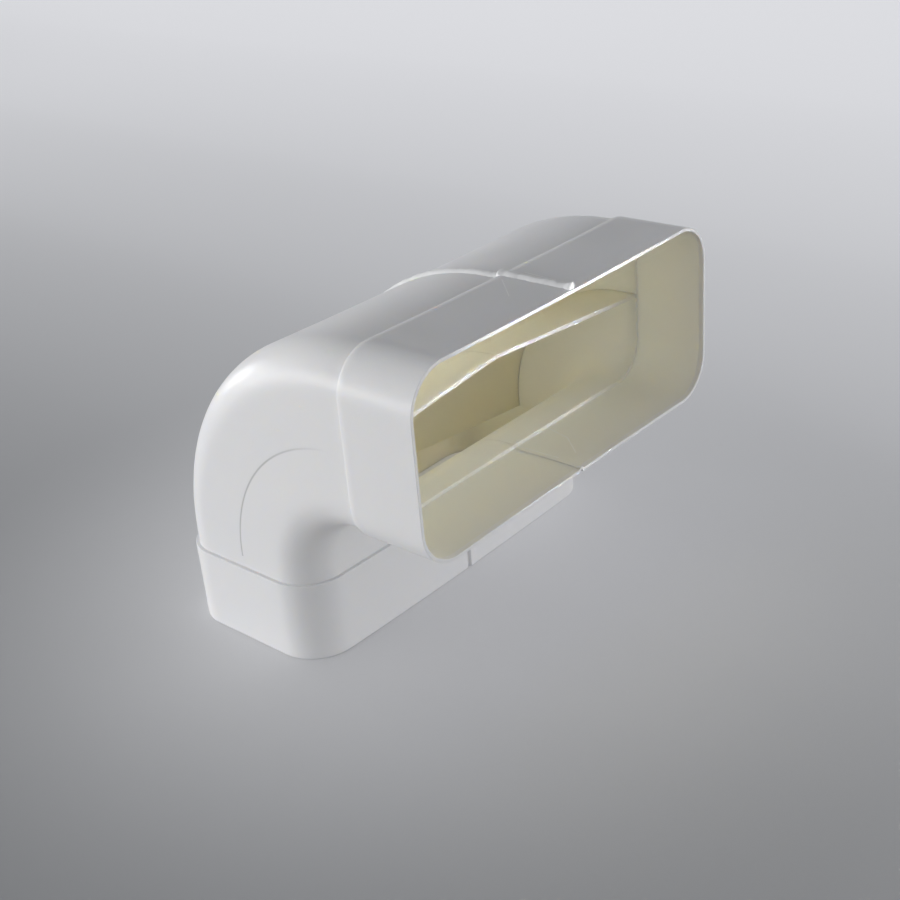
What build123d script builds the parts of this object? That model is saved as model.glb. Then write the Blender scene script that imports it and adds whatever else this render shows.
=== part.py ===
from build123d import *
import os

# Flat duct vertical bend: a 90 degree elbow for rectangular flat duct, standing on its lower socket.
# Millimetres, +Z up. The origin is the centre of the lower socket's mouth, on the floor.
# X runs across the duct's width, and the upper socket's mouth faces -Y.

# Driving dimensions
duct_width = 220.0       # outside width of the flat duct that slides into each socket
duct_height = 90.0       # outside height of that duct
duct_corner = 19.6       # outside corner radius of that duct
slip = 0.4               # clearance between duct and socket, on each side
wall = 2.0               # moulded wall
duct_wall = 1.9          # wall of the duct, and so the depth of the stop step inside a socket
socket_depth = 40.0      # how far the duct slides in
leg = 126.0              # from each mouth's plane to the other leg's axis
straight = 6.0           # plain length between a socket's shoulder and the arc of the bend
vane_thick = 2.2         # guide vane that splits the bend into two passages
vane_drop = 1.0          # how far the vane's line on the side walls lies inside the bend's centre line
vane_rise = 4.0          # how much higher the vane's two halves meet than they start
vane_root = 1.0          # how deep the vane's ends run into the side walls
bead_width = 3.2         # weld bead along the outer seam
bead_height = 1.3
bead_bevel = 0.6         # bevel of the bead's two long edges

# Derived sizes: sockets, then the body between them
socket_in_w = duct_width + 2 * slip
socket_in_h = duct_height + 2 * slip
socket_in_r = duct_corner + slip
socket_out_w = socket_in_w + 2 * wall
socket_out_h = socket_in_h + 2 * wall
socket_out_r = socket_in_r + wall
body_in_w = socket_in_w - 2 * duct_wall
body_in_h = socket_in_h - 2 * duct_wall
body_in_r = socket_in_r - duct_wall
body_out_w = body_in_w + 2 * wall
body_out_h = body_in_h + 2 * wall
body_out_r = body_in_r + wall
socket_length = socket_depth + wall
arc_start = socket_length + straight
bend_radius = leg - arc_start
bend_y = -bend_radius
bend_z = arc_start
bend_axis = Axis((0, bend_y, bend_z), (1, 0, 0))
past = 1.0               # how far a cutting solid runs past the face it opens

# Each leg's section plane at its mouth, looking into the bend, with the width along local x
upper_mouth = Plane(origin=(0, -leg, leg), x_dir=(1, 0, 0), z_dir=(0, 1, 0))
lower_mouth = Plane(origin=(0, 0, 0), x_dir=(1, 0, 0), z_dir=(0, 0, 1))


def leg_prism(mouth, width, height, radius, start, end):
    """A rounded-rectangle prism along one leg, between two depths from its mouth."""
    section = mouth.offset(start) * RectangleRounded(width, height, radius)
    return extrude(section, amount=end - start, dir=mouth.z_dir)


def body_tube(width, height, radius, start):
    """The quarter turn with a straight stretch on each end, from leg to leg."""
    section = lower_mouth.offset(arc_start) * RectangleRounded(width, height, radius)
    tube = revolve(section, axis=bend_axis, revolution_arc=90)
    for mouth in (upper_mouth, lower_mouth):
        tube += leg_prism(mouth, width, height, radius, start, arc_start)
    return tube


def socket_block(mouth):
    """The outside of a socket, as far as the shoulder where it drops to the body."""
    return leg_prism(mouth, socket_out_w, socket_out_h, socket_out_r, 0, socket_length)


def socket_bore(mouth):
    """The space that a duct slides into, open past the mouth and stopped by the body's step."""
    return leg_prism(mouth, socket_in_w, socket_in_h, socket_in_r, -past, socket_depth)


def vane_notch(mouth, reach):
    """The wedge that sweeps one end of the vane back, from the stop on the side walls to the arc at the seam."""
    plan = Plane(origin=mouth.origin, x_dir=mouth.x_dir, z_dir=mouth.y_dir)
    wedge = Polyline(
        (0, -arc_start), (reach, -socket_depth), (reach, past - socket_depth),
        (-reach, past - socket_depth), (-reach, -socket_depth), close=True)
    return extrude(plan * make_face(wedge), amount=body_in_h / 2, both=True)


def guide_vane():
    """A thin wall round the bend, in two halves that rise a little to where they meet.
    On the side walls it runs on as far as the sockets' stops."""
    reach = body_in_w / 2 + vane_root
    low = -vane_drop
    high = low + vane_rise
    half = vane_thick / 2
    section = Polyline(
        (-reach, low - half), (0, high - half), (reach, low - half),
        (reach, low + half), (0, high + half), (-reach, low + half), close=True)
    face = lower_mouth.offset(arc_start) * make_face(section)
    vane = revolve(face, axis=bend_axis, revolution_arc=90)
    ends = [vane.faces().sort_by(Axis(mouth.origin, mouth.z_dir))[0] for mouth in (upper_mouth, lower_mouth)]
    for mouth, end in zip((upper_mouth, lower_mouth), ends):
        vane += extrude(end, amount=arc_start - socket_depth, dir=-mouth.z_dir)
        vane -= vane_notch(mouth, reach)
    return vane


def seam_outline(grow):
    """The side view's outer half, from the legs' axes out to the outer walls, grown by some height."""
    turn = bend_radius + body_out_h / 2 + grow
    outline = Pos(bend_y, bend_z) * Circle(turn)
    outline &= Pos(bend_y, bend_z) * Rectangle(turn, turn, align=(Align.MIN, Align.MIN))
    runs = [(socket_length + grow, socket_out_h / 2 + grow), (arc_start, body_out_h / 2 + grow)]
    for length, rise in runs:
        outline += Pos(-leg, leg) * Rectangle(length, rise, align=(Align.MIN, Align.MIN))
        outline += Rectangle(rise, length, align=(Align.MIN, Align.MIN))
    return Plane.YZ * outline


def weld_bead():
    """The low ridge of welded plastic that stands along the outer seam of the two halves."""
    strip = seam_outline(bead_height) - seam_outline(0)
    bead = extrude(strip, amount=bead_width / 2, both=True)
    ground = seam_outline(0)
    crest_away = (bead_width ** 2 / 4 + bead_height ** 2) ** 0.5
    crest = bead.edges().filter_by(lambda edge: edge.distance_to(ground) > 0.95 * crest_away)
    return chamfer(crest, bead_bevel)


# The whole hollow bend, then the two mouldings that meet on the plane across its width
bend = body_tube(body_out_w, body_out_h, body_out_r, socket_length)
for mouth in (upper_mouth, lower_mouth):
    bend += socket_block(mouth)
bend -= body_tube(body_in_w, body_in_h, body_in_r, socket_depth - past)
for mouth in (upper_mouth, lower_mouth):
    bend -= socket_bore(mouth)
bend += guide_vane()

pieces = {
    "left_half": split(bend, bisect_by=Plane.YZ, keep=Keep.BOTTOM),
    "right_half": split(bend, bisect_by=Plane.YZ, keep=Keep.TOP),
    "weld_bead": weld_bead(),
}

os.makedirs("parts", exist_ok=True)
for name, piece in pieces.items():
    export_step(piece, f"parts/{name}.step")
    box = piece.bounding_box()
    print(name, "volume mm3", round(piece.volume), "from", box.min, "to", box.max, "solids", len(piece.solids()))
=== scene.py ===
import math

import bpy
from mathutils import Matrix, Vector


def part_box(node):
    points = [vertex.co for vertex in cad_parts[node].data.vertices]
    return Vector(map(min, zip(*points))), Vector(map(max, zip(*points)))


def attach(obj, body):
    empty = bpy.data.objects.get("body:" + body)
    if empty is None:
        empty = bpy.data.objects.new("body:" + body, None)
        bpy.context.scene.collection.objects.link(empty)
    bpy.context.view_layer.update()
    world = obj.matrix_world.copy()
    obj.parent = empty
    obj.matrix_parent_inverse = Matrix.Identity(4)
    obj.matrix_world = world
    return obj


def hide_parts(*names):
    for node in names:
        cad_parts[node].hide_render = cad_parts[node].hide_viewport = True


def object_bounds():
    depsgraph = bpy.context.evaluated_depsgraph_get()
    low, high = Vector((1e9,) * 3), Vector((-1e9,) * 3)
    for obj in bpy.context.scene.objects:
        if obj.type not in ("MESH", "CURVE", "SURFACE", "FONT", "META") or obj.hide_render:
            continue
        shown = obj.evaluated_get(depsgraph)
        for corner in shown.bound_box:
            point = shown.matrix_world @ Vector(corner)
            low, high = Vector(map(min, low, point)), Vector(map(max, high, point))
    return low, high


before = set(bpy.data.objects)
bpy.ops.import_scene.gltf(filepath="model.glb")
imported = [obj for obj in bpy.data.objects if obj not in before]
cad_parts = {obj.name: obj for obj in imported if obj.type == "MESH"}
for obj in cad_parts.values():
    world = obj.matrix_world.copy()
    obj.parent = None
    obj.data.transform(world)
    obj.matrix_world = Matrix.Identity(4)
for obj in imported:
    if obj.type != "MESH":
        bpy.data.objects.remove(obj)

# %% [markdown]
# # A flat duct vertical bend in white plastic
# The object is a right-angle bend for flat ventilation duct. It stands on one of its two sockets,
# and the other socket opens towards the viewer. Two moulded halves meet in the middle of its width,
# where a ragged ridge of welded plastic is left along the back. A thin curved vane inside guides the air.
# The lesson first reads the sizes off the frame, then draws each piece, then gives it its finish.

cad_low, cad_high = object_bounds()
half_low, half_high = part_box("left_half")
bead_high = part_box("weld_bead")[1]

leg = -half_low.y                        # from the lower mouth's axis to the upper mouth
socket_half_width = -half_low.x
socket_half_height = half_high.y
wall = 0.0020                            # thickness of socket and passage walls
step = 0.0019                            # the stop that a duct meets at the bottom of a socket
neck = 0.0060                            # short straight stretch between a socket and the bend
socket_depth = 0.0400
socket_length = socket_depth + wall
arc_start = socket_length + neck
bend_radius = leg - arc_start
arc_length = bend_radius * math.pi / 2
path_length = 2 * arc_start + arc_length
body_width = 2 * (socket_half_width - wall - step)
body_height = 2 * (socket_half_height - wall - step)
body_corner = 0.0181
print("passage %.1f x %.1f mm, path %.1f mm long, bend radius %.1f mm"
      % (1000 * body_width, 1000 * body_height, 1000 * path_length, 1000 * bend_radius))

# %% [markdown]
# ## Building node trees in a script
# Every shape and finish below is a node tree. Adding nodes by hand in code is wordy, so one small helper
# adds a node, sets its options and fills its inputs. An input that is given a socket is linked to it,
# and any other value becomes the input's own number. The other helpers do the same for plain arithmetic,
# for mapping one range of numbers to another, and for taking a point apart and putting it together.


# %% Helpers for node trees
def add_node(tree, kind, inputs=None, **options):
    made = tree.nodes.new(kind)
    for name, value in options.items():
        setattr(made, name, value)
    for key, value in (inputs or {}).items():
        if isinstance(value, bpy.types.NodeSocket):
            tree.links.new(value, made.inputs[key])
        else:
            made.inputs[key].default_value = value
    return made


def calculate(tree, operation, first, second=0.0, third=0.0):
    values = {0: first, 1: second, 2: third}
    return add_node(tree, "ShaderNodeMath", values, operation=operation).outputs[0]


def ranged(tree, value, low, high, at_low=0.0, at_high=1.0, **options):
    values = {0: value, 1: low, 2: high, 3: at_low, 4: at_high}
    return add_node(tree, "ShaderNodeMapRange", values, **options).outputs[0]


def clamped(tree, value):
    return add_node(tree, "ShaderNodeClamp", {0: value}).outputs[0]


def here(tree):
    return add_node(tree, "GeometryNodeInputPosition").outputs[0]


def parts_of(tree, point):
    return add_node(tree, "ShaderNodeSeparateXYZ", {0: point}).outputs


def point_of(tree, x=0.0, y=0.0, z=0.0):
    return add_node(tree, "ShaderNodeCombineXYZ", {0: x, 1: y, 2: z}).outputs[0]


def open_tree(name, kind, inputs, outputs):
    tree = bpy.data.node_groups.new(name, kind)
    for label, socket_type in inputs:
        tree.interface.new_socket(label, in_out="INPUT", socket_type=socket_type)
    for label, socket_type in outputs:
        tree.interface.new_socket(label, in_out="OUTPUT", socket_type=socket_type)
    return tree, add_node(tree, "NodeGroupInput").outputs, add_node(tree, "NodeGroupOutput")


GEOMETRY = "NodeSocketGeometry"
LENGTH = "NodeSocketFloat"
print("node helpers ready")

# %% [markdown]
# ## The rule of the bend
# The duct could be drawn as an elbow from the start, but its details, such as shoulders and vane, are far
# easier to place on a straight duct. So every piece is drawn straight, with X across the duct, Y as its height
# and Z as the distance travelled from the upper mouth. One shared group then bends that straight space
# through a quarter turn. The same group adds the slight warp of a thin moulding: the long walls of the real
# one sag a little at mid width, and the front of the lower socket bellies out.
# At the upper mouth the bend swaps height and travel, which turns a piece inside out as a mirror does.
# So pieces are drawn with their faces the wrong way round, and the bend puts them right.


# %% A node group that bends straight duct into the elbow
BEND_INPUTS = [("Arc Start", LENGTH), ("Bend Radius", LENGTH), ("Half Width", LENGTH), ("Half Height", LENGTH),
               ("Back Sag", LENGTH), ("Mouth Pinch", LENGTH), ("Front Belly", LENGTH)]
bend_values = {"Arc Start": arc_start, "Bend Radius": bend_radius, "Half Width": body_width / 2,
               "Half Height": body_height / 2, "Back Sag": 0.0010, "Mouth Pinch": 0.0010,
               "Front Belly": 0.0018}


def make_bend_group():
    tree, given, result = open_tree("bend_straight_duct", "GeometryNodeTree",
                                    [("Geometry", GEOMETRY)] + BEND_INPUTS, [("Geometry", GEOMETRY)])
    across, height, travelled = parts_of(tree, here(tree))

    # Where along the path each point is: before, in or after the quarter turn
    arc = calculate(tree, "MULTIPLY", given["Bend Radius"], math.pi / 2)
    into_arc = calculate(tree, "SUBTRACT", travelled, given["Arc Start"])
    share = clamped(tree, calculate(tree, "DIVIDE", into_arc, arc))
    turn = calculate(tree, "MULTIPLY", share, math.pi / 2)
    before = calculate(tree, "MINIMUM", into_arc, 0.0)
    after = calculate(tree, "MAXIMUM", calculate(tree, "SUBTRACT", into_arc, arc), 0.0)

    # The warp is strongest at mid width and dies out at the side walls
    side_share = calculate(tree, "DIVIDE", across, given["Half Width"])
    crown = calculate(tree, "SUBTRACT", 1.0, calculate(tree, "MULTIPLY", side_share, side_share))
    level = calculate(tree, "DIVIDE", height, given["Half Height"])
    back = clamped(tree, level)
    front = clamped(tree, calculate(tree, "MULTIPLY", level, -1.0))
    swing = ranged(tree, share, 0.0, 1.0, given["Mouth Pinch"],
                   calculate(tree, "MULTIPLY", given["Front Belly"], -1.0))
    warp = calculate(tree, "SUBTRACT", calculate(tree, "MULTIPLY", front, swing),
                     calculate(tree, "MULTIPLY", back, given["Back Sag"]))
    warped = calculate(tree, "MULTIPLY_ADD", warp, crown, height)

    reach = calculate(tree, "ADD", given["Bend Radius"], warped)
    sideways = calculate(tree, "MULTIPLY", reach, calculate(tree, "SINE", turn))
    upwards = calculate(tree, "MULTIPLY", reach, calculate(tree, "COSINE", turn))
    depth = calculate(tree, "ADD", calculate(tree, "SUBTRACT", sideways, given["Bend Radius"]), before)
    rise = calculate(tree, "SUBTRACT", calculate(tree, "ADD", upwards, given["Arc Start"]), after)
    moved = add_node(tree, "GeometryNodeSetPosition", {"Geometry": given["Geometry"],
                     "Position": point_of(tree, across, depth, rise)})
    tree.links.new(moved.outputs[0], result.inputs[0])
    return tree


bend_group = make_bend_group()


def add_bend(tree, geometry, given):
    """Places the shared bend in a tree, fed from that tree's own inputs of the same names."""
    group = add_node(tree, "GeometryNodeGroup", node_tree=bend_group)
    tree.links.new(geometry, group.inputs["Geometry"])
    for label, _ in BEND_INPUTS:
        tree.links.new(given[label], group.inputs[label])
    return group.outputs[0]


print("bend group:", len(bend_group.nodes), "nodes")

# %% [markdown]
# ## The wall's section
# A half of the fitting is a thin wall that runs from one socket rim to the other: socket, shoulder, passage,
# shoulder, socket. The wall could be made with Solidify, but a socket's wall steps outwards so that a duct
# slides in up to a stop, and Solidify can't step. So the closed outline of the wall is drawn once, as distance
# along the path and thickness off the passage. The mouths widen a little, and the upper shoulder falls
# slightly towards its edge. Each point also keeps how far inside the fitting it is. The finish paints a glow
# into the inside's colour by that number, brighter and creamier the deeper it lies. The glow stands in for
# light that bounces inside and comes through the thin wall.

# %% Draw the wall's outline as a loop of edges
outline_spacing = 0.0024
edge_run, edge_drop = 0.0014, 0.0004     # slight fall towards the edge of the upper shoulder
lead_in, lead_length = 0.0003, 0.0080    # the mouths widen, so that a duct finds its way in
# Depth share just inside a mouth. The inside's colour carries a painted glow that grows with this share.
mouth_warmth = 0.35                      # warmth just inside a mouth; it is 0 outside and 1 deep inside


def points_between(start, end, spacing):
    count = max(1, round(math.hypot(end[0] - start[0], end[1] - start[1]) / spacing))
    return [(start[0] + (end[0] - start[0]) * k / count, start[1] + (end[1] - start[1]) * k / count)
            for k in range(count)]


def wall_outline():
    far = path_length
    outer, bore = wall + step, step
    outside = [(0, outer), (socket_length - edge_run, outer), (socket_length, outer - edge_drop),
               (socket_length, wall), (far - socket_length, wall), (far - socket_length, outer), (far, outer)]
    inside = [(far, bore + lead_in), (far - lead_length, bore), (far - socket_depth, bore),
              (far - socket_depth, 0), (socket_depth, 0), (socket_depth, bore), (lead_length, bore),
              (0, bore + lead_in)]
    corners = outside + inside
    outline, warmth = [], []
    for k, corner in enumerate(corners):
        within = len(outside) <= k < len(corners) - 1
        for along, off in points_between(corner, corners[(k + 1) % len(corners)], outline_spacing):
            deep = min(1.0, min(along, far - along) / socket_depth)
            outline.append((along, off))
            warmth.append(mouth_warmth + (1.0 - mouth_warmth) * deep if within else 0.0)
    return outline, warmth


outline, warmth = wall_outline()
print("wall outline:", len(outline), "points")

# %% [markdown]
# ## The ring that the wall runs round
# Each half of the real fitting is one moulding, and its wall has the same section all the way round. It could
# be extruded loop by loop, but then every change of a size means modelling again. Here Curve to Mesh sweeps the
# outline round half of a rounded rectangle, from mid top to mid bottom. That node puts the outline's X
# on the outward side of the ring and its Y along the path, turned round, so the outline is drawn that way.
# For the right half the ring is turned by half a turn, not mirrored, so that both halves have their faces
# the same way round. Near the seam the ring has more points, because the groove there is narrow.

# %% Half of a rounded rectangle
corner_points, ring_points = 24, 150
seam_zone, seam_cuts = 0.007, 4          # this near the seam, each stretch of the ring is cut so often


def half_ring(tree, given):
    reach = calculate(tree, "MULTIPLY", given["Half Width"], given["Side"])
    low = calculate(tree, "MULTIPLY", given["Half Height"], given["Side"])
    high = calculate(tree, "MULTIPLY", low, -1.0)
    corners = [(0.0, high), (reach, high), (reach, low), (0.0, low)]
    places = {"Point %d" % (k + 1): point_of(tree, x, y) for k, (x, y) in enumerate(corners)}
    square = add_node(tree, "GeometryNodeCurvePrimitiveQuadrilateral", places, mode="POINTS")
    opened = add_node(tree, "GeometryNodeSetSplineCyclic", {"Geometry": square.outputs[0], "Cyclic": False})
    rounded = add_node(tree, "GeometryNodeFilletCurve", {"Curve": opened.outputs[0], "Count": corner_points,
                       "Radius": given["Corner"]}, mode="POLY")
    even = add_node(tree, "GeometryNodeResampleCurve", {"Curve": rounded.outputs[0], "Count": ring_points})
    from_seam = calculate(tree, "ABSOLUTE", parts_of(tree, here(tree))[0])
    by_seam = calculate(tree, "LESS_THAN", from_seam, seam_zone)
    finer = add_node(tree, "GeometryNodeSubdivideCurve", {"Curve": even.outputs[0],
                     "Cuts": calculate(tree, "MULTIPLY", by_seam, seam_cuts)})
    return add_node(tree, "GeometryNodeSetCurveNormal", {"Curve": finer.outputs[0]}, mode="Z_UP").outputs[0]


print("half ring:", ring_points, "points,", corner_points, "in a corner")

# %% [markdown]
# ## The guide vane
# A thin plate spans the passage and follows the turn, so that the air goes round with it. The plate climbs a
# little towards the seam, where the plates of the two halves meet in a shallow peak, and there its ends are set
# back from the stops. A profile swept along an arc could make it, but a straight grid that a rule lifts
# is simpler, because the shared bend does the curving. The plate ends at the face of the wall: deeper in,
# the light that scatters in the plastic would show a dark line along it.

# %% One half of the vane
vane_columns, vane_rows = 30, 60
vane_drop, vane_rise, vane_thickness = 0.0010, 0.0040, 0.0022


def half_vane(tree, given):
    width = calculate(tree, "ADD", given["Half Width"], given["Vane Bite"])
    arc = calculate(tree, "MULTIPLY", given["Bend Radius"], math.pi / 2)
    plate = add_node(tree, "GeometryNodeMeshCube", {"Size": point_of(tree, width, given["Vane Thickness"], arc),
                     "Vertices X": vane_columns, "Vertices Z": vane_rows})
    middle = calculate(tree, "MULTIPLY", calculate(tree, "MULTIPLY", width, 0.5), given["Side"])
    along = calculate(tree, "ADD", given["Arc Start"], calculate(tree, "MULTIPLY", arc, 0.5))
    placed = add_node(tree, "GeometryNodeTransform", {"Geometry": plate.outputs[0],
                      "Translation": point_of(tree, middle, 0.0, along)})

    # Up towards the seam, and longer towards the wall
    across, _, travelled = parts_of(tree, here(tree))
    share = calculate(tree, "DIVIDE", calculate(tree, "ABSOLUTE", across), width)
    peak = calculate(tree, "MULTIPLY", calculate(tree, "SUBTRACT", 1.0, share), given["Vane Rise"])
    run_on = calculate(tree, "DIVIDE", calculate(tree, "MULTIPLY", share, given["Vane Sweep"]), arc)
    longer = calculate(tree, "MULTIPLY", calculate(tree, "SUBTRACT", travelled, along), run_on)
    lift = point_of(tree, 0.0, calculate(tree, "SUBTRACT", peak, given["Vane Drop"]),
                    calculate(tree, "MULTIPLY", longer, 2.0))
    tented = add_node(tree, "GeometryNodeSetPosition", {"Geometry": placed.outputs[0], "Offset": lift})

    # The grid's faces point outwards, so they are turned round before the bend
    turned = add_node(tree, "GeometryNodeFlipFaces", {"Mesh": tented.outputs[0]}).outputs[0]
    return add_node(tree, "GeometryNodeStoreNamedAttribute", {"Geometry": turned, "Name": "warmth",
                    "Value": 1.0}, data_type="FLOAT", domain="POINT").outputs[0]


print("vane: %.1f mm thick, peak of %.1f mm" % (1000 * vane_thickness, 1000 * vane_rise))

# %% [markdown]
# ## The groove along the front seam
# In front a narrow groove is left between the two halves, with a low lip on the right half. A bump in the
# finish would vanish at the rim, where the groove shows as a notch. So the outer skin of the front wall is
# sunk near the seam: a floor, a flank, and a lip that settles again.

# %% Sink the outer skin along the seam
lip_settles = 0.005                      # width over which the lip runs out
inner_warmth = 0.3                       # more than this is inside the fitting


def read_mark(tree, name, kind="FLOAT"):
    return add_node(tree, "GeometryNodeInputNamedAttribute", {"Name": name}, data_type=kind).outputs[0]


def seam_groove(tree, shell, given):
    across, height, _ = parts_of(tree, here(tree))
    away = calculate(tree, "ABSOLUTE", across)
    top = calculate(tree, "ADD", given["Groove Floor"], given["Groove Flank"])
    lip = calculate(tree, "MULTIPLY", given["Groove Lip"], -1.0)
    climb = ranged(tree, away, given["Groove Floor"], top, given["Groove Depth"], lip)
    settle = ranged(tree, away, top, calculate(tree, "ADD", top, lip_settles), lip, 0.0)
    profile = calculate(tree, "SUBTRACT", calculate(tree, "ADD", climb, settle), lip)
    outside = calculate(tree, "LESS_THAN", read_mark(tree, "warmth"), inner_warmth)
    outer_front = calculate(tree, "MULTIPLY", outside, calculate(tree, "LESS_THAN", height, 0.0))
    push = point_of(tree, 0.0, calculate(tree, "MULTIPLY", profile, outer_front))
    return add_node(tree, "GeometryNodeSetPosition", {"Geometry": shell, "Offset": push}).outputs[0]


print("groove: its lip runs out over %.1f mm" % (1000 * lip_settles))

# %% [markdown]
# ## One tree for a half
# The tree joins the swept wall and the vane, and sends both through the shared bend. The end faces of the wall,
# on the seam, have close to two hundred corners each, so they are cut into triangles. Like every tree here
# it ends with smooth shading that keeps crisp edges, real geometry and a material. The inside gets a
# material of its own, because it lets more light through.

# %% The tree for one half of the elbow
crisp_from = math.radians(32)
MATERIAL = "NodeSocketMaterial"
HALF_INPUTS = [("Side", LENGTH), ("Corner", LENGTH), ("Vane Bite", LENGTH), ("Vane Thickness", LENGTH),
               ("Vane Drop", LENGTH), ("Vane Rise", LENGTH), ("Vane Sweep", LENGTH), ("Groove Floor", LENGTH),
               ("Groove Flank", LENGTH), ("Groove Lip", LENGTH), ("Groove Depth", LENGTH),
               ("Material", MATERIAL), ("Inner Material", MATERIAL)]


def finish_tree(tree, geometry, given, result):
    steep = add_node(tree, "GeometryNodeInputMeshEdgeAngle").outputs[0]
    smooth = add_node(tree, "GeometryNodeSetShadeSmooth", {"Geometry": geometry, "Shade Smooth":
                      calculate(tree, "LESS_THAN", steep, crisp_from)}, domain="EDGE")
    real = add_node(tree, "GeometryNodeRealizeInstances", {"Geometry": smooth.outputs[0]})
    dressed = add_node(tree, "GeometryNodeSetMaterial", {"Geometry": real.outputs[0],
                       "Material": given["Material"]})
    if "Inner Material" in given:
        inner = calculate(tree, "GREATER_THAN", read_mark(tree, "warmth"), inner_warmth)
        dressed = add_node(tree, "GeometryNodeSetMaterial", {"Geometry": dressed.outputs[0],
                           "Selection": inner, "Material": given["Inner Material"]})
    tree.links.new(dressed.outputs[0], result.inputs[0])


def make_half_tree():
    tree, given, result = open_tree("elbow_half", "GeometryNodeTree", [("Geometry", GEOMETRY)] + BEND_INPUTS
                                    + HALF_INPUTS, [("Geometry", GEOMETRY)])
    section = add_node(tree, "GeometryNodeMeshToCurve", {"Mesh": given["Geometry"]})
    shell = add_node(tree, "GeometryNodeCurveToMesh", {"Curve": half_ring(tree, given),
                     "Profile Curve": section.outputs[0], "Fill Caps": True})
    joined = add_node(tree, "GeometryNodeJoinGeometry")
    tree.links.new(seam_groove(tree, shell.outputs[0], given), joined.inputs[0])
    tree.links.new(half_vane(tree, given), joined.inputs[0])
    bent = add_bend(tree, joined.outputs[0], given)
    corners = add_node(tree, "GeometryNodeInputMeshFaceNeighbors").outputs["Vertex Count"]
    cut_up = add_node(tree, "GeometryNodeTriangulate", {"Mesh": bent, "Selection":
                      calculate(tree, "GREATER_THAN", corners, 4.0)})
    finish_tree(tree, cut_up.outputs[0], given, result)
    return tree


half_tree = make_half_tree()
print("half tree:", len(half_tree.nodes), "nodes")

# %% [markdown]
# ## From tree to plain mesh
# A piece is handed on as a plain mesh. A small object carries the drawn outline, the tree shapes it, and a
# narrow Bevel takes the knife edges off the rims as a mould does. The result is copied out of the evaluated
# object, and the modifiers go.

# %% Helpers that run a tree on a drawn outline
bevel_from, bevel_rows = math.radians(70), 2


def drawn_object(name, points, edges, **attributes):
    mesh = bpy.data.meshes.new(name + "_drawn")
    mesh.from_pydata(points, edges, [])
    for label, values in attributes.items():
        mesh.attributes.new(label, "FLOAT", "POINT").data.foreach_set("value", values)
    piece = bpy.data.objects.new(name, mesh)
    bpy.context.scene.collection.objects.link(piece)
    return piece


def run_tree(piece, tree, settings, bevel=0.0):
    shaper = piece.modifiers.new("shape", "NODES")
    shaper.node_group = tree
    for item in tree.interface.items_tree:
        if item.in_out == "INPUT" and item.name in settings:
            shaper[item.identifier] = settings[item.name]
    if bevel:
        rounding = piece.modifiers.new("rounding", "BEVEL")
        rounding.width, rounding.segments = bevel, bevel_rows
        rounding.limit_method, rounding.angle_limit = "ANGLE", bevel_from
    drawn = piece.data
    evaluated = piece.evaluated_get(bpy.context.evaluated_depsgraph_get())
    piece.data = bpy.data.meshes.new_from_object(evaluated)
    piece.modifiers.clear()
    bpy.data.meshes.remove(drawn)
    piece.data.name = piece.name


print("outline runner ready")

# %% [markdown]
# ## The finish of the plastic
# The real finish is a plain satin white that was moulded in one go. What keeps it from looking like plaster is
# small: a faint orange-peel in the gloss, slow patches of rougher and smoother skin, and tiny dark specks.
# A colour alone would look flat, so these are worked out from the surface's own place in shader groups, which
# the plastics of the fitting share.

# %% Shader groups for moulded skin and specks
VALUE, PLACE = "NodeSocketFloat", "NodeSocketVector"


def noise(tree, place, scale, detail=2.0):
    return add_node(tree, "ShaderNodeTexNoise", {"Vector": place, "Scale": scale, "Detail": detail}).outputs[0]


def make_skin_group():
    patch_scale, peel_scale, wave_scale, wave_share = 28.0, 420.0, 45.0, 2.5
    tree, given, result = open_tree("moulded_skin", "ShaderNodeTree",
                                    [("Place", PLACE), ("Rough Low", VALUE), ("Rough High", VALUE)],
                                    [("Roughness", VALUE), ("Height", VALUE)])
    patches = noise(tree, given["Place"], patch_scale, 4.0)
    rough = ranged(tree, patches, 0.3, 0.7, given["Rough Low"], given["Rough High"])
    peel = noise(tree, given["Place"], peel_scale)
    waves = noise(tree, given["Place"], wave_scale, 1.0)
    tree.links.new(rough, result.inputs["Roughness"])
    tree.links.new(calculate(tree, "MULTIPLY_ADD", waves, wave_share, peel), result.inputs["Height"])
    return tree


def make_speck_group():
    cell_scale = 60.0
    tree, given, result = open_tree("dark_specks", "ShaderNodeTree",
                                    [("Place", PLACE), ("Density", VALUE), ("Radius", VALUE)],
                                    [("Mask", VALUE)])
    cells = add_node(tree, "ShaderNodeTexVoronoi", {"Vector": given["Place"], "Scale": cell_scale})
    near = ranged(tree, cells.outputs["Distance"], given["Radius"], 0.0)
    pick = add_node(tree, "ShaderNodeSeparateColor", {0: cells.outputs["Color"]})
    chosen = calculate(tree, "LESS_THAN", pick.outputs[0], given["Density"])
    tree.links.new(calculate(tree, "MULTIPLY", near, chosen), result.inputs["Mask"])
    return tree


skin_group, speck_group = make_skin_group(), make_speck_group()
print("shader groups:", skin_group.name, speck_group.name)

# %% [markdown]
# ## Marks on the shell
# Where the vane joins a side wall the plastic has drawn in as it cooled, so the vane shows outside as a fine
# arc, at a constant distance from the axis of the bend. The arc is a shallow bump, and its grey is painted
# shade, the shade that the sunk line catches. Both fade towards the front, where the line catches less shade.
# It could be a real groove, but it is finer than the mesh, so a group finds it from Object coordinates.

# %% A shader group for the vane's witness arc and its painted shade
fade_from, fade_to = 0.08, 0.62          # share behind the bend's axis where the arc starts, and is full


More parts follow.
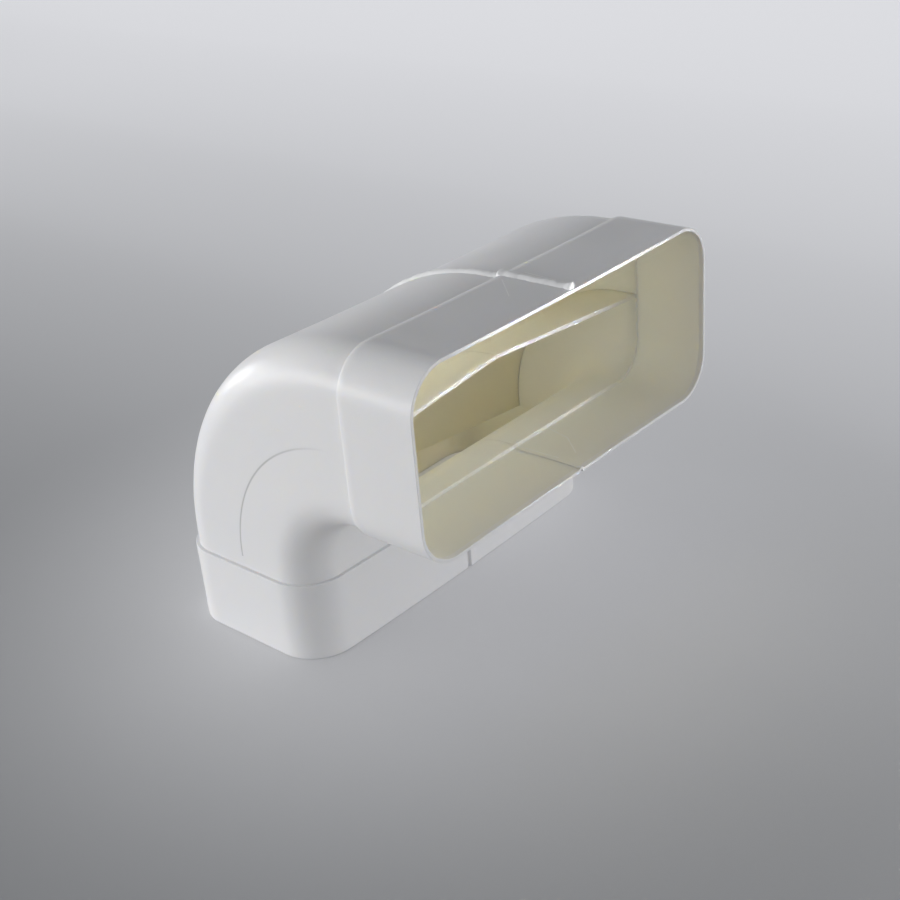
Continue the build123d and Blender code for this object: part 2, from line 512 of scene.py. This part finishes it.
def make_witness_and_shade_group():
    tree, given, result = open_tree("vane_witness_and_shade", "ShaderNodeTree",
                                    [("Place", PLACE), ("Axis Y", VALUE), ("Axis Z", VALUE), ("Radius", VALUE),
                                     ("Wall X", VALUE), ("Line Width", VALUE)], [("Mask", VALUE)])
    across, deep, high = parts_of(tree, given["Place"])
    behind = calculate(tree, "SUBTRACT", deep, given["Axis Y"])
    above = calculate(tree, "SUBTRACT", high, given["Axis Z"])
    away = calculate(tree, "SQRT", calculate(tree, "ADD", calculate(tree, "MULTIPLY", behind, behind),
                                             calculate(tree, "MULTIPLY", above, above)))
    off = calculate(tree, "ABSOLUTE", calculate(tree, "SUBTRACT", away, given["Radius"]))
    line = ranged(tree, off, given["Line Width"], 0.0, interpolation_type="SMOOTHSTEP")
    fading = ranged(tree, calculate(tree, "DIVIDE", behind, away), fade_from, fade_to)
    in_turn = calculate(tree, "MULTIPLY", fading, calculate(tree, "GREATER_THAN", above, 0.0))
    on_side = calculate(tree, "GREATER_THAN", calculate(tree, "ABSOLUTE", across), given["Wall X"])
    tree.links.new(calculate(tree, "MULTIPLY", line, calculate(tree, "MULTIPLY", in_turn, on_side)),
                   result.inputs["Mask"])
    return tree


witness_and_shade_group = make_witness_and_shade_group()
print("witness arc radius %.1f mm" % (1000 * (bend_radius - vane_drop)))

# %% [markdown]
# On top of the upper socket, beside the weld, there are a few hair lines, as a blade leaves them when it trims
# a seam, and a few more are rubbed into the socket's floor. A noise would scatter them anywhere. So one group
# draws a single straight scratch between two points, with gaps where the blade skipped, and is placed once
# for each scratch.

# %% A shader group for one straight scratch
grip_scale = 260.0
grip_from, grip_to = 0.28, 0.45          # the blade skips below, and cuts fully above
scratch_reach = 0.004                    # a scratch marks only the wall that it lies on


def combine(tree, operation, first, second):
    made = add_node(tree, "ShaderNodeVectorMath", {0: first, 1: second}, operation=operation)
    return made.outputs["Value" if operation in ("DOT_PRODUCT", "DISTANCE") else "Vector"]


def scaled(tree, vector, factor):
    return add_node(tree, "ShaderNodeVectorMath", {0: vector, "Scale": factor}, operation="SCALE").outputs[0]


def make_scratch_group():
    tree, given, result = open_tree("straight_scratch", "ShaderNodeTree",
                                    [("Place", PLACE), ("Start", PLACE), ("End", PLACE), ("Width", VALUE)],
                                    [("Mask", VALUE)])
    run = combine(tree, "SUBTRACT", given["End"], given["Start"])
    gone = combine(tree, "SUBTRACT", given["Place"], given["Start"])
    level = calculate(tree, "ABSOLUTE", parts_of(tree, gone)[2])
    flat = combine(tree, "MULTIPLY", gone, (1.0, 1.0, 0.0))
    share = calculate(tree, "DIVIDE", combine(tree, "DOT_PRODUCT", flat, run),
                      combine(tree, "DOT_PRODUCT", run, run))
    off = combine(tree, "DISTANCE", flat, scaled(tree, run, clamped(tree, share)))
    line = ranged(tree, off, given["Width"], 0.0)
    cutting = ranged(tree, noise(tree, given["Place"], grip_scale), grip_from, grip_to)
    there = calculate(tree, "MULTIPLY", line, calculate(tree, "LESS_THAN", level, scratch_reach))
    tree.links.new(calculate(tree, "MULTIPLY", there, cutting), result.inputs["Mask"])
    return tree


scratch_group = make_scratch_group()
print("scratch group:", len(scratch_group.nodes), "nodes")

# %% [markdown]
# ## White shell plastic, outside and inside
# Both sides of a wall are the same plastic, but they don't look the same. Outside it is a cool white. Inside,
# light bounces about and comes through the thin wall, so it looks creamier the deeper one looks.
# One material with a mask could do it, but how far light scatters is a constant of the shader.
# So one function makes two materials: the inner one lets more light through, and its colour holds a painted
# glow, from grey at the mouth to a bright cream deep inside.

# %% A function for the shell's two plastics
skin_gloss = {"Rough Low": 0.28, "Rough High": 0.38}
speck_look = {"Density": 0.035, "Radius": 0.04}
arc_look = {"Axis Y": -bend_radius, "Axis Z": arc_start, "Radius": bend_radius - vane_drop,
            "Wall X": body_width / 2 + 0.7 * wall, "Line Width": 0.0008}
speck_brown, arc_painted_shade_grey, scratch_white = (0.20, 0.17, 0.13, 1), (0.45, 0.45, 0.45, 1), (0.99, 0.99, 0.98, 1)
scratch_width, mark_depth = 0.00045, -6.0
shell_bump, shell_bump_depth = 0.05, 0.0008


def start_material(name, constants):
    """A new material with its shader's constants set, and the place on the surface that the rest varies by."""
    material = bpy.data.materials.new(name)
    material.use_nodes = True
    shader = material.node_tree.nodes["Principled BSDF"]
    for label, value in constants.items():
        shader.inputs[label].default_value = value
    place = add_node(material.node_tree, "ShaderNodeTexCoord").outputs["Object"]
    return material, material.node_tree, shader, place


def mix_colours(tree, share, first, second):
    return add_node(tree, "ShaderNodeMix", {"Factor": share, "A": first, "B": second},
                    data_type="RGBA").outputs["Result"]


def shell_plastic(name, mouth_tone, deep_glow_tone, translucence, light_depth, scratches):
    material, tree, plastic, place = start_material(name, {
        "IOR": 1.53, "Specular IOR Level": 0.2, "Subsurface Weight": translucence,
        "Subsurface Radius": (1.0, 0.90, 0.72), "Subsurface Scale": light_depth})
    skin = add_node(tree, "ShaderNodeGroup", {"Place": place, **skin_gloss}, node_tree=skin_group)
    specks = add_node(tree, "ShaderNodeGroup", {"Place": place, **speck_look}, node_tree=speck_group)
    arc = add_node(tree, "ShaderNodeGroup", {"Place": place, **arc_look}, node_tree=witness_and_shade_group)
    cut = 0.0
    for start, end in scratches:
        one = add_node(tree, "ShaderNodeGroup", {"Place": place, "Start": start, "End": end,
                       "Width": scratch_width}, node_tree=scratch_group)
        cut = calculate(tree, "MAXIMUM", one.outputs["Mask"], cut)

    # Painted glow: the colour runs from the mouth tone to the deep tone by how far inside the surface lies. The
    # glow stands in for light that bounces inside and comes through the wall.
    depth_inside = add_node(tree, "ShaderNodeAttribute", attribute_name="warmth").outputs["Fac"]
    colour = mix_colours(tree, depth_inside, mouth_tone, deep_glow_tone)
    # Specks and scratches are the plastic's own marks. The arc's grey is painted shade along the sunk line.
    for mask, strength, tone in ((specks.outputs["Mask"], 0.6, speck_brown),
                                 (arc.outputs["Mask"], 0.75, arc_painted_shade_grey), (cut, 0.9, scratch_white)):
        colour = mix_colours(tree, calculate(tree, "MULTIPLY", mask, strength), colour, tone)
    tree.links.new(colour, plastic.inputs["Base Color"])
    tree.links.new(skin.outputs["Roughness"], plastic.inputs["Roughness"])

    marks = calculate(tree, "ADD", arc.outputs["Mask"], cut)
    height = calculate(tree, "MULTIPLY_ADD", marks, mark_depth, skin.outputs["Height"])
    bump = add_node(tree, "ShaderNodeBump", {"Strength": shell_bump, "Distance": shell_bump_depth,
                    "Height": height})
    tree.links.new(bump.outputs[0], plastic.inputs["Normal"])
    return material


print("shell plastic: roughness", skin_gloss["Rough Low"], "to", skin_gloss["Rough High"])

# %% The two plastics with their scratches
top_sag = 0.0005                         # the top of the socket lies this much lower beside the weld
socket_top, socket_floor = half_high.z - top_sag, half_high.z - 2 * socket_half_height + wall
trim_scratches = [((0.0056, -0.0860, socket_top), (0.0034, -0.1240, socket_top)),
                  ((0.0070, -0.0930, socket_top), (0.0047, -0.1240, socket_top)),
                  ((-0.0058, -0.0896, socket_top), (-0.0213, -0.1060, socket_top))]
rub_scratches = [((0.0030, -0.0850, socket_floor), (0.0036, -0.1100, socket_floor)),
                 ((0.0270, -0.0860, socket_floor), (0.0235, -0.1010, socket_floor)),
                 ((0.0235, -0.1010, socket_floor), (0.0125, -0.1140, socket_floor))]
# The inner tones are a painted glow: grey at the mouth, bright cream deep inside, for light in the passage.
cool_white, mouth_inner_grey, deep_glow_cream = (0.83, 0.83, 0.84, 1), (0.70, 0.70, 0.70, 1), (0.99, 0.965, 0.85, 1)
outer_plastic = shell_plastic("outer_shell_plastic", cool_white, cool_white, translucence=0.5,
                              light_depth=0.0020, scratches=trim_scratches)
inner_plastic = shell_plastic("inner_shell_plastic", mouth_inner_grey, deep_glow_cream, translucence=1.0,
                              light_depth=0.0050, scratches=rub_scratches)
print("materials:", outer_plastic.name, inner_plastic.name)

# %% Make the two halves
vane_bite, groove_depth, rim_bevel = 0.00003, 0.0012, 0.00025
flat_outline = [(off, -along, 0.0) for along, off in outline]
loop = [(k, (k + 1) % len(outline)) for k in range(len(outline))]
half_settings = dict(bend_values)
half_settings.update({"Corner": body_corner, "Vane Bite": vane_bite, "Vane Thickness": vane_thickness,
                      "Vane Drop": vane_drop, "Vane Rise": vane_rise, "Vane Sweep": arc_start - socket_depth,
                      "Groove Depth": groove_depth, "Material": outer_plastic,
                      "Inner Material": inner_plastic})
for name, side, floor, flank, lip in (("left_shell", -1.0, 0.0003, 0.0005, 0.0),
                                      ("right_shell", 1.0, 0.0013, 0.0007, 0.0004)):
    half_settings.update({"Side": side, "Groove Floor": floor, "Groove Flank": flank, "Groove Lip": lip})
    shell = drawn_object(name, flat_outline, loop, warmth=warmth)
    run_tree(shell, half_tree, half_settings, rim_bevel)
    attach(shell, "root")
    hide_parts(name.replace("shell", "half"))
    print(name, len(shell.data.polygons), "faces")

# %% [markdown]
# ## The weld ridge
# Along the back of the seam the two halves were melted together, and the plastic that squeezed out stands as a
# thin, uneven ridge. A plain strip would look like a moulding. So a round tube follows the seam in straight
# space, is pressed flat, leans to one side, and its surface is pushed in and out by noise. Where the ridge
# climbs a shoulder, and near the rim, the melt has gathered in a lump. So each point of the path keeps how
# much melt lies there, and how thick the ridge is, because its two ends are rounded.

# %% Draw the ridge's path along the outside of the seam
ridge_width = 0.0036
ridge_height = 1.2 * (bead_high.z - half_high.z)   # a little higher than the frame's plain bead
ridge_spacing, ridge_inset = 0.0005, 0.0004
end_start, end_length = 0.0003, 0.0016   # where the rounded end of the ridge begins, and how long it is
rim_lump_at = 0.0020
rim_lump, upper_lump, lower_lump = (0.0016, 1.3), (0.0012, 0.6), (0.0012, 0.4)   # length, amount of melt


def ridge_path():
    far, outer = path_length, wall + step
    corners = [(ridge_inset, outer), (socket_length, outer), (socket_length + ridge_inset, wall),
               (far - socket_length - ridge_inset, wall), (far - socket_length, outer),
               (far - ridge_inset, outer)]
    path = []
    for k in range(len(corners) - 1):
        path += points_between(corners[k], corners[k + 1], ridge_spacing)
    path.append(corners[-1])
    gathered = [(rim_lump_at, *rim_lump), (socket_length, *upper_lump), (far - socket_length, *lower_lump)]
    melt = [sum(much * math.exp(-((along - spot) / spread) ** 2) for spot, spread, much in gathered)
            for along, _ in path]
    to_end = [min(1.0, (min(along, far - along) - end_start) / end_length) for along, _ in path]
    girth = [math.sqrt(1.0 - (1.0 - share) ** 2) for share in to_end]
    return [(0.0, body_height / 2 + off, along) for along, off in path], melt, girth


ridge_points, ridge_melt, ridge_girth = ridge_path()
print("ridge path:", len(ridge_points), "points")

# %% A node tree for the ragged ridge
RIDGE_INPUTS = [("Ridge Width", LENGTH), ("Ridge Height", LENGTH), ("Ridge Lean", LENGTH),
                ("Raggedness", VALUE), ("Lump Height", LENGTH), ("Seed", VALUE), ("Material", MATERIAL)]
tube_sides, rag_scale, rag_middle, melt_swell = 14, 330.0, 0.58, 0.25


def make_ridge_tree():
    tree, given, result = open_tree("weld_ridge", "GeometryNodeTree", [("Geometry", GEOMETRY)] + BEND_INPUTS
                                    + RIDGE_INPUTS, [("Geometry", GEOMETRY)])
    seam = add_node(tree, "GeometryNodeMeshToCurve", {"Mesh": given["Geometry"]})
    place = here(tree)
    spine = add_node(tree, "GeometryNodeStoreNamedAttribute", {"Geometry": seam.outputs[0], "Name": "spine",
                     "Value": place}, data_type="FLOAT_VECTOR", domain="POINT")
    radius = calculate(tree, "MULTIPLY", given["Ridge Width"], 0.5)
    circle = add_node(tree, "GeometryNodeCurvePrimitiveCircle", {"Resolution": tube_sides, "Radius": radius})
    tube = add_node(tree, "GeometryNodeCurveToMesh", {"Curve": spine.outputs[0],
                    "Profile Curve": circle.outputs[0], "Fill Caps": True})

    # Pressed flat, and leaning over towards its top
    centre, melt = read_mark(tree, "spine", "FLOAT_VECTOR"), read_mark(tree, "melt")
    pressed = calculate(tree, "DIVIDE", given["Ridge Height"], radius)
    out = combine(tree, "SUBTRACT", place, centre)
    flat = combine(tree, "MULTIPLY", out, point_of(tree, 1.0, pressed, 1.0))
    risen = calculate(tree, "MAXIMUM", parts_of(tree, flat)[1], 0.0)
    tip_over = calculate(tree, "MULTIPLY", calculate(tree, "DIVIDE", risen, given["Ridge Height"]),
                         given["Ridge Lean"])
    leaning = combine(tree, "ADD", flat, point_of(tree, tip_over))

    # Ragged by noise, thicker where melt has gathered, and round at its ends
    rags = add_node(tree, "ShaderNodeTexNoise", {"Vector": place, "W": given["Seed"], "Scale": rag_scale,
                    "Detail": 3.0}, noise_dimensions="4D").outputs[0]
    ragged = calculate(tree, "MULTIPLY", calculate(tree, "SUBTRACT", rags, rag_middle), given["Raggedness"])
    swell = calculate(tree, "ADD", calculate(tree, "ADD", ragged, 1.0),
                      calculate(tree, "MULTIPLY", melt, melt_swell))
    swollen = scaled(tree, leaning, calculate(tree, "MULTIPLY", swell, read_mark(tree, "girth")))
    lump = point_of(tree, 0.0, calculate(tree, "MULTIPLY", melt, given["Lump Height"]))
    heaped = combine(tree, "ADD", combine(tree, "ADD", centre, swollen), lump)
    turned = add_node(tree, "GeometryNodeFlipFaces", {"Mesh": tube.outputs[0]}).outputs[0]
    shaped = add_node(tree, "GeometryNodeSetPosition", {"Geometry": turned, "Position": heaped})
    finish_tree(tree, add_bend(tree, shaped.outputs[0], given), given, result)
    return tree


ridge_tree = make_ridge_tree()
print("ridge tree:", len(ridge_tree.nodes), "nodes")

# %% [markdown]
# ## Weld plastic
# Plastic that was melted and torn is whiter and duller than the moulded skin beside it, and blotchy.
# The shell's plastic could be used again, but its specks, arc and scratches don't belong here. So the ridge
# has a small material of its own, with the shared skin group set rougher.

# %% Weld plastic and the ridge itself
dull_gloss = {"Rough Low": 0.40, "Rough High": 0.60}
torn_white, melted_white = (0.88, 0.88, 0.88, 1), (0.98, 0.98, 0.98, 1)
blotch_scale, weld_bump, weld_bump_depth = 240.0, 0.2, 0.0006


def weld_plastic():
    material, tree, plastic, place = start_material("weld_plastic", {"IOR": 1.5})
    skin = add_node(tree, "ShaderNodeGroup", {"Place": place, **dull_gloss}, node_tree=skin_group)
    white = mix_colours(tree, noise(tree, place, blotch_scale, 3.0), torn_white, melted_white)
    tree.links.new(white, plastic.inputs["Base Color"])
    tree.links.new(skin.outputs["Roughness"], plastic.inputs["Roughness"])
    bump = add_node(tree, "ShaderNodeBump", {"Strength": weld_bump, "Distance": weld_bump_depth,
                    "Height": skin.outputs["Height"]})
    tree.links.new(bump.outputs[0], plastic.inputs["Normal"])
    return material


ridge = drawn_object("weld_ridge", ridge_points, [(k, k + 1) for k in range(len(ridge_points) - 1)],
                     melt=ridge_melt, girth=ridge_girth)
ridge_settings = dict(bend_values)
ridge_settings.update({"Ridge Width": ridge_width, "Ridge Height": ridge_height, "Ridge Lean": 0.0012,
                       "Raggedness": 0.9, "Lump Height": 0.0006, "Seed": 3.0, "Material": weld_plastic()})
run_tree(ridge, ridge_tree, ridge_settings)
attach(ridge, "root")
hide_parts("weld_bead")
print("weld ridge:", len(ridge.data.polygons), "faces")

# %% [markdown]
# ## Floor and backdrop
# The photograph was taken on a seamless grey sweep. A flat floor would show a horizon, so the floor rises
# into the backdrop in one smooth curve. Its grey is paler in a pool round the object, a pool of light painted
# into the paper's colour. A glow that only the camera and reflections see runs from dark near the viewer to
# pale behind, so that it adds no light.

# %% A seamless sweep behind the object
camera_azimuth, camera_elevation, camera_roll = math.radians(-47.4), math.radians(26.9), math.radians(-5.0)
view_from = Vector((math.sin(camera_azimuth), -math.cos(camera_azimuth), 0.0))
view_right = Vector((-view_from.y, view_from.x, 0.0))


def sweep_section():
    front_edge, row, floor_reach, rise_radius, rise_rows, wall_top = -2.6, 0.1, 2.0, 0.9, 24, 2.2
    section = [(front_edge + row * k, 0.0) for k in range(int((floor_reach - front_edge) / row))]
    section += [(floor_reach + rise_radius * math.sin(t), rise_radius * (1 - math.cos(t)))
                for t in [math.pi / 2 * k / rise_rows for k in range(rise_rows + 1)]]
    return section + [(floor_reach + rise_radius, wall_top)]


def make_sweep():
    half_width, below = 3.0, 0.0002
    rows = sweep_section()
    points = [view_right * side - view_from * along + Vector((0, 0, high - below)) for along, high in rows
              for side in (-half_width, half_width)]
    faces = [(2 * k, 2 * k + 2, 2 * k + 3, 2 * k + 1) for k in range(len(rows) - 1)]
    mesh = bpy.data.meshes.new("grey_sweep")
    mesh.from_pydata(points, [], faces)
    mesh.polygons.foreach_set("use_smooth", [True] * len(faces))
    sweep = bpy.data.objects.new("grey_sweep", mesh)
    bpy.context.scene.collection.objects.link(sweep)
    return sweep


sweep = make_sweep()
print("sweep:", len(sweep.data.polygons), "faces")

# %% Grey paper for the sweep
pool_middle, pool_edge, pool_end = (-0.02, -0.025, 0.0), 0.06, 0.30
painted_pool_grey, paper_grey = (0.77, 0.77, 0.78, 1), (0.405, 0.41, 0.42, 1)
paler_angle, glow_start, glow_end = math.radians(44), -0.30, 1.90
glow_stops = [(0.0, 0.0), (0.136, 0.11), (0.25, 0.26), (0.386, 0.40), (0.591, 0.53), (1.0, 0.59)]
glow_tint = (0.985, 0.99, 1.03)


def sweep_paper():
    material, tree, paper, place = start_material("sweep_paper", {"Roughness": 0.7, "Specular IOR Level": 0.2})
    # Painted light: the paper's colour is paler in a pool round the object.
    pool = ranged(tree, combine(tree, "DISTANCE", place, pool_middle), pool_edge, pool_end,
                  interpolation_type="SMOOTHSTEP")
    tree.links.new(mix_colours(tree, pool, painted_pool_grey, paper_grey), paper.inputs["Base Color"])
    paler_way = view_right * math.sin(paler_angle) - view_from * math.cos(paler_angle)
    along = combine(tree, "DOT_PRODUCT", place, paler_way)
    fade = add_node(tree, "ShaderNodeValToRGB", {0: ranged(tree, along, glow_start, glow_end)})
    fade.color_ramp.interpolation = "CARDINAL"
    stops = fade.color_ramp.elements
    while len(stops) < len(glow_stops):
        stops.new(0.5)
    for stop, (reach, level) in zip(stops, glow_stops):
        stop.position, stop.color = reach, (*(level * part for part in glow_tint), 1)
    tree.links.new(fade.outputs[0], paper.inputs["Emission Color"])
    ray = add_node(tree, "ShaderNodeLightPath").outputs
    mirrored = calculate(tree, "ADD", ray["Is Glossy Ray"], ray["Is Transmission Ray"])
    tree.links.new(calculate(tree, "ADD", ray["Is Camera Ray"], mirrored), paper.inputs["Emission Strength"])
    return material


sweep.data.materials.append(sweep_paper())
print("sweep paper:", len(glow_stops), "steps of glow")

# %% [markdown]
# ## Light
# The side wall on the left is the brightest plane in the photograph and the top is among the darkest, so the
# lights stand low: a wide one on the left and behind, a weaker strip on the right in front, and a small one at
# the back for the ridge. An even grey world does the rest. The deep white passage would still look too dark,
# so a narrow beam shines into the mouth, and light may bounce more often than Blender's default.


# %% Soft lights
def soft_light(name, place, aim, wide, high, power):
    lamp = bpy.data.lights.new(name, "AREA")
    lamp.shape, lamp.size, lamp.size_y, lamp.energy = "RECTANGLE", wide, high, power
    holder = bpy.data.objects.new(name, lamp)
    holder.location = place
    holder.rotation_euler = (Vector(place) - Vector(aim)).to_track_quat("Z", "Y").to_euler()
    bpy.context.scene.collection.objects.link(holder)
    return holder


middle, mouth = (cad_low + cad_high) / 2, Vector((0.0, -0.10, 0.165))
left_light = soft_light("left_softbox", (-1.44, 1.13, 0.30), middle, wide=2.2, high=0.5, power=23.0)
front_light = soft_light("front_softbox", (0.86, -1.24, 0.07), middle, wide=0.7, high=0.13, power=8.2)
mouth_light = soft_light("mouth_snoot", (0.30, -1.55, 0.10), mouth, wide=0.05, high=0.05, power=0.048)
mouth_light.data.spread = math.radians(8)
back_light = soft_light("back_softbox", (-0.20, 1.90, 0.25), middle, wide=0.6, high=0.3, power=6.0)
print("lights:", left_light.name, front_light.name, mouth_light.name, back_light.name)

# %% World, bounces and view
light_bounces = 20
world = bpy.data.worlds.new("studio_air")
bpy.context.scene.world = world
world.use_nodes = True
air = world.node_tree.nodes["Background"].inputs
air["Color"].default_value, air["Strength"].default_value = (0.95, 0.97, 1.0, 1), 0.335
bpy.context.scene.view_settings.view_transform = "Standard"
bpy.context.scene.cycles.diffuse_bounces = light_bounces
bpy.context.scene.cycles.max_bounces = light_bounces
print("world strength %.3f, %d bounces" % (air["Strength"].default_value, light_bounces))

# %% [markdown]
# ## Camera
# The camera looks down at the fitting from the front left. Blender's Track To constraint could aim it, but it
# can't roll, and the photograph is slightly rolled. So the three axes of the camera are worked out and
# put into its matrix. The focal length is given in pixels of the 900 pixel picture.


# %% Camera at the photograph's angle
def place_camera(aim, distance, focal_pixels, image_pixels=900, sensor=36.0):
    camera = bpy.data.objects.new("camera", bpy.data.cameras.new("camera"))
    bpy.context.scene.collection.objects.link(camera)
    camera.data.sensor_width = sensor
    camera.data.lens = sensor * focal_pixels / image_pixels
    back = view_from * math.cos(camera_elevation) + Vector((0, 0, math.sin(camera_elevation)))
    right = (-back).cross(Vector((0, 0, 1))).normalized()
    up = right.cross(-back)
    turned_right = right * math.cos(camera_roll) + up * math.sin(camera_roll)
    turned_up = up * math.cos(camera_roll) - right * math.sin(camera_roll)
    turn = Matrix((turned_right, turned_up, back)).transposed().to_4x4()
    camera.matrix_world = Matrix.Translation(aim + back * distance) @ turn
    bpy.context.scene.camera = camera
    return camera


camera = place_camera(aim=Vector((-0.0075, -0.0496, 0.0742)), distance=0.70, focal_pixels=1377.0)
print("camera at", tuple(round(c, 3) for c in camera.matrix_world.translation))
